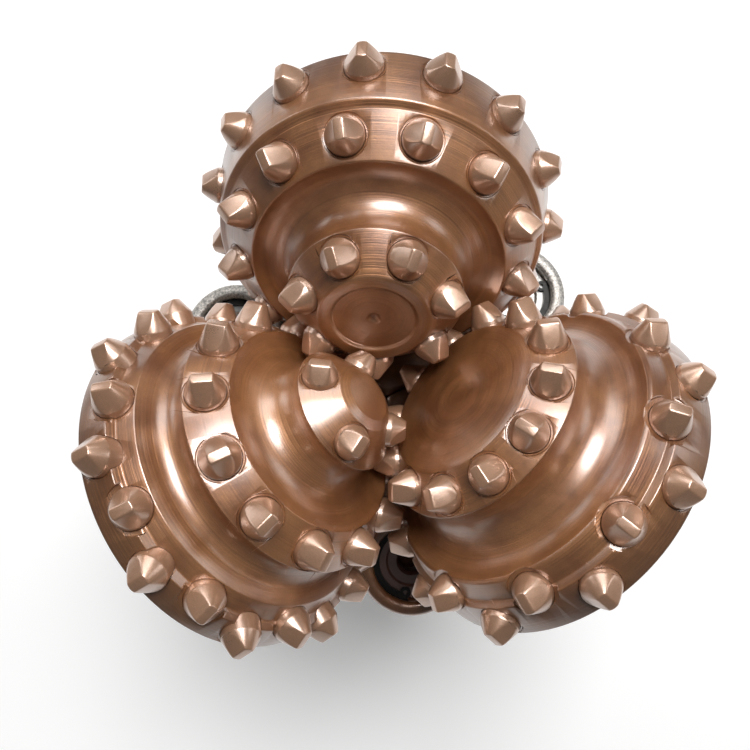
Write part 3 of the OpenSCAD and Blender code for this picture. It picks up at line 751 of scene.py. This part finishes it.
class BIT_OT_cut_thread(bpy.types.Operator):
    """Turn the pin and its shoulder and cut the taper thread"""

    bl_idname = "roller_bit.cut_thread"
    bl_label = "Cut Pin Thread"

    def execute(self, context):
        sizes, colours = context.scene.body_sizes, context.scene.finish_colours
        steel = machined_steel("turned_pin_steel", colours.steel, 0.36, grain=520.0, spots=0.2)
        put("turned_pin", turned(PIN, 160), "bit_body", steel)
        self.cut_ridge(sizes.thread_pitch, sizes.thread_height, steel)
        return {"FINISHED"}

    def cut_ridge(self, pitch, height, steel):
        """One helical ridge on the taper, which runs in at the nose and out at the shoulder."""
        per_turn, half, skin, flat = 72, pitch * 0.46, 0.4 * MM, 0.5 * MM
        bm = bmesh.new()
        ring = [bm.verts.new((r, 0, THREAD_START + z)) for r, z in
                ((ROOT_RADIUS - skin, -half), (ROOT_RADIUS, -half), (ROOT_RADIUS + height, -flat),
                 (ROOT_RADIUS + height, flat), (ROOT_RADIUS, half), (ROOT_RADIUS - skin, half))]
        ends = [bm.edges.new((a, b)) for a, b in zip(ring, ring[1:] + ring[:1])]
        bmesh.ops.spin(bm, geom=ring + ends, cent=(0, 0, 0), axis=(0, 0, 1), dvec=(0, 0, pitch / per_turn),
                       angle=math.tau * THREAD_TURNS, steps=round(THREAD_TURNS * per_turn), use_merge=False,
                       use_duplicate=False)
        bmesh.ops.holes_fill(bm, edges=[e for e in bm.edges if e.is_boundary], sides=0)
        reach = THREAD_START + THREAD_TURNS * pitch
        for v in bm.verts:
            radius = math.hypot(v.co.x, v.co.y)
            run_in = max(0.0, (v.co.z - THREAD_START + half) / pitch * 1.6)
            run_out = max(0.0, (reach - v.co.z) / (pitch * 0.8))
            fullness = min(1.0, run_out, run_in) if radius > ROOT_RADIUS + 0.1 * MM else 1.0
            wanted = ROOT_RADIUS + (radius - ROOT_RADIUS) * fullness + PIN_TAPER * v.co.z
            v.co.x *= wanted / radius
            v.co.y *= wanted / radius
        bmesh.ops.recalc_face_normals(bm, faces=bm.faces)
        put("pin_thread_ridge", bm, "bit_body", steel, ("pin_thread",), 30)


class BIT_OT_weld_seams(bpy.types.Operator):
    """Lay the weld beads between the legs on the shank"""

    bl_idname = "roller_bit.weld_seams"
    bl_label = "Weld Seams"

    def execute(self, context):
        sizes, colours = context.scene.body_sizes, context.scene.finish_colours
        paint = sprayed_bronze("bronze_on_weld", shaded(colours.bronze, 0.8), shaded(colours.brown, 0.8), mottle=1.6)
        foot, ripple_pitch, run_out = SHANK_FOOT + 0.3 * MM, 0.75 * MM, SHANK_TOP - 4 * MM
        for number, azimuth in enumerate(SEAM_AZIMUTHS, 1):
            bm = bmesh.new()
            ring = bmesh.ops.create_circle(bm, cap_ends=True, segments=14, radius=sizes.bead_width / 2)["verts"]
            bmesh.ops.scale(bm, vec=(2 * sizes.bead_crown / sizes.bead_width, 1, 1), verts=ring)
            bmesh.ops.translate(bm, vec=(SHANK_RADIUS, 0, foot), verts=ring)
            face = bm.faces[:][0]
            ripple, rise = 0, foot
            while rise < SHANK_TOP:
                made = bmesh.ops.extrude_face_region(bm, geom=[face])
                verts = [g for g in made["geom"] if isinstance(g, bmesh.types.BMVert)]
                if face.is_valid:
                    bmesh.ops.delete(bm, geom=[face], context="FACES_ONLY")
                face = next(g for g in made["geom"] if isinstance(g, bmesh.types.BMFace))
                out = 0.4 * MM if rise > run_out else 0.0
                bmesh.ops.translate(bm, vec=(out, 0, ripple_pitch), verts=verts)
                grow = (1.10, 1.0, 0.91)[ripple % 3]
                middle = sum((v.co for v in verts), Vector()) / len(verts)
                bmesh.ops.scale(bm, vec=(grow, 0.5 + grow / 2, 1), space=Matrix.Translation(-middle), verts=verts)
                ripple, rise = ripple + 1, rise + ripple_pitch
            bmesh.ops.recalc_face_normals(bm, faces=bm.faces)
            bmesh.ops.rotate(bm, cent=(0, 0, 0), matrix=Matrix.Rotation(math.radians(azimuth), 3, "Z"), verts=bm.verts)
            put(f"shank_weld_{number}", bm, "bit_body", paint, crease=60)
        return {"FINISHED"}


class BIT_OT_finish_fittings(bpy.types.Operator):
    """Give bearings, seals, lubricators and buttons their finishes"""

    bl_idname = "roller_bit.finish_fittings"
    bl_label = "Finish Fittings"

    def execute(self, context):
        colours = context.scene.finish_colours
        bushing = machined_steel("bearing_bronze", colours.bushing, 0.28, spots=0.15)
        lapped = machined_steel("lapped_washer", shaded(colours.steel, 1.1), 0.2, depth=0.01)
        polished = machined_steel("polished_ball", shaded(colours.steel, 1.35), 0.1, depth=0.004)
        pressed = machined_steel("pressed_cup", colours.steel, 0.3)
        ground = machined_steel("ground_carbide", shaded(colours.steel, 0.62), 0.3, spots=0.2)
        spring = machined_steel("phosphated_spring", shaded(colours.steel, 0.09), 0.42, spots=0.3)
        rubber = moulded_rubber("nitrile_rubber", colours.black)
        plug = sprayed_bronze("bronze_on_plug", shaded(colours.bronze, 0.8), shaded(colours.brown, 0.85), mottle=2.0)
        cap = sprayed_bronze("bronze_on_cap", shaded(colours.bronze, 0.95), shaded(colours.brown, 0.9))
        finishes = {"floating_bushing": bushing, "pilot_bushing": bushing, "thrust_button": lapped,
                    "thrust_washer": lapped, "retaining_balls": polished, "seal_ring": rubber, "diaphragm": rubber,
                    "ball_plug": plug, "reservoir_cup": pressed, "reservoir_cap": cap, "heel_buttons": ground}
        for kind, finish in finishes.items():
            for letter in LETTERS:
                coat(f"{kind}_{letter}", finish)
        coat("shirttail_buttons", ground)
        coat("nozzle_seal_rings", rubber)
        for node in ("reservoir_snap_rings", "nozzle_snap_rings"):
            coat(node, spring)
        return {"FINISHED"}


def coat(node, material):
    """Gives a solid that stays as it is a finish."""
    mesh = frame["nodes"][node].data
    mesh.materials.clear()
    mesh.materials.append(material)


class BIT_OT_set_stage(bpy.types.Operator):
    """Set the floor, the softboxes and the camera"""

    bl_idname = "roller_bit.set_stage"
    bl_label = "Set Stage"

    def execute(self, context):
        look = context.scene.stage_look
        plain = Finish("floor_paper", roughness=0.9, metallic=0.0)
        grain = plain.noise(plain.spot(), 900.0, 2.0)
        plain.drive("Base Color", plain.mix(grain, shaded(look.floor, 0.99), look.floor))
        seen = plain.node("LightPath", {}, {}, "Is Camera Ray")
        for kind in ("Is Glossy Ray", "Is Transmission Ray"):
            seen = seen.work("MAXIMUM", seen, plain.node("LightPath", {}, {}, kind))
        plain.drive("Emission Color", plain.node("CombineColor", {}, {i: seen * look.lift for i in range(3)}))
        plain.shader.inputs["Emission Strength"].default_value = 1.0
        bm = bmesh.new()
        bmesh.ops.create_grid(bm, x_segments=2, y_segments=2, size=2.5)
        mesh = bpy.data.meshes.new("floor")
        bm.to_mesh(mesh)
        bm.free()
        mesh.materials.append(plain.material)
        floor = bpy.data.objects.new("floor", mesh)
        context.scene.collection.objects.link(floor)

        world = bpy.data.worlds.new("studio")
        world.use_nodes = True
        sky = world.node_tree.nodes["Background"]
        sky.inputs["Color"].default_value = (1, 1, 1, 1)
        sky.inputs["Strength"].default_value = look.sky
        context.scene.world = world

        self.softbox("overhead_softbox", (0.22, 0.60, 1.95), (0.95, 0.75), look.key)
        self.softbox("far_softbox", (-0.15, 1.40, 1.35), (1.4, 0.7), look.fill)
        self.softbox("left_softbox", (-1.30, 0.85, 0.75), (0.6, 0.6), look.side)
        self.softbox("right_softbox", (1.50, 0.45, 1.00), (0.5, 0.8), look.side)

        camera = bpy.data.objects.new("camera", bpy.data.cameras.new("camera"))
        context.scene.collection.objects.link(camera)
        camera.data.sensor_width = 36
        camera.data.lens = look.lens
        camera.data.clip_start = 0.02
        x, y, z = look.turn
        camera.matrix_world = (Matrix.Translation(look.eye) @ Matrix.Rotation(z, 4, "Z") @ Matrix.Rotation(y, 4, "Y")
                               @ Matrix.Rotation(x, 4, "X"))
        context.scene.camera = camera
        context.scene.view_settings.view_transform = "Standard"
        return {"FINISHED"}

    def softbox(self, name, place, size, power):
        lamp = bpy.data.lights.new(name, "AREA")
        lamp.shape = "RECTANGLE"
        lamp.size, lamp.size_y = size
        lamp.energy = power
        holder = bpy.data.objects.new(name, lamp)
        bpy.context.scene.collection.objects.link(holder)
        holder.location = place
        holder.rotation_euler = (Vector((0, 0, 0.25)) - Vector(place)).to_track_quat("-Z", "Y").to_euler()


class BIT_PT_workshop(bpy.types.Panel):
    """Steps and sizes of the bit's finish"""

    bl_idname = "BIT_PT_workshop"
    bl_label = "Roller Bit"
    bl_space_type = "VIEW_3D"
    bl_region_type = "UI"
    bl_category = "Roller Bit"

    def draw(self, context):
        for step in STEPS:
            self.layout.operator(step.bl_idname)
        for group in GROUPS:
            box = self.layout.box()
            settings = getattr(context.scene, group)
            for name in settings.bl_rna.properties.keys():
                if name not in ("rna_type", "name"):
                    box.prop(settings, name)


STEPS = (BIT_OT_set_stage, BIT_OT_turn_cones, BIT_OT_press_inserts, BIT_OT_forge_legs, BIT_OT_cast_bosses,
         BIT_OT_cut_thread, BIT_OT_weld_seams, BIT_OT_finish_fittings)
GROUPS = {"cone_sizes": ConeSizes, "body_sizes": BodySizes, "finish_colours": FinishColours, "stage_look": StageLook}


def register():
    for item in (*GROUPS.values(), *STEPS, BIT_PT_workshop):
        bpy.utils.register_class(item)
    for name, group in GROUPS.items():
        setattr(bpy.types.Scene, name, PointerProperty(type=group))


def unregister():
    for name in GROUPS:
        delattr(bpy.types.Scene, name)
    for item in (BIT_PT_workshop, *reversed(STEPS), *reversed(GROUPS.values())):
        bpy.utils.unregister_class(item)


def main():
    register()
    for step in STEPS:
        group, name = step.bl_idname.split(".")
        getattr(getattr(bpy.ops, group), name)()


if __name__ == "__main__":
    main()
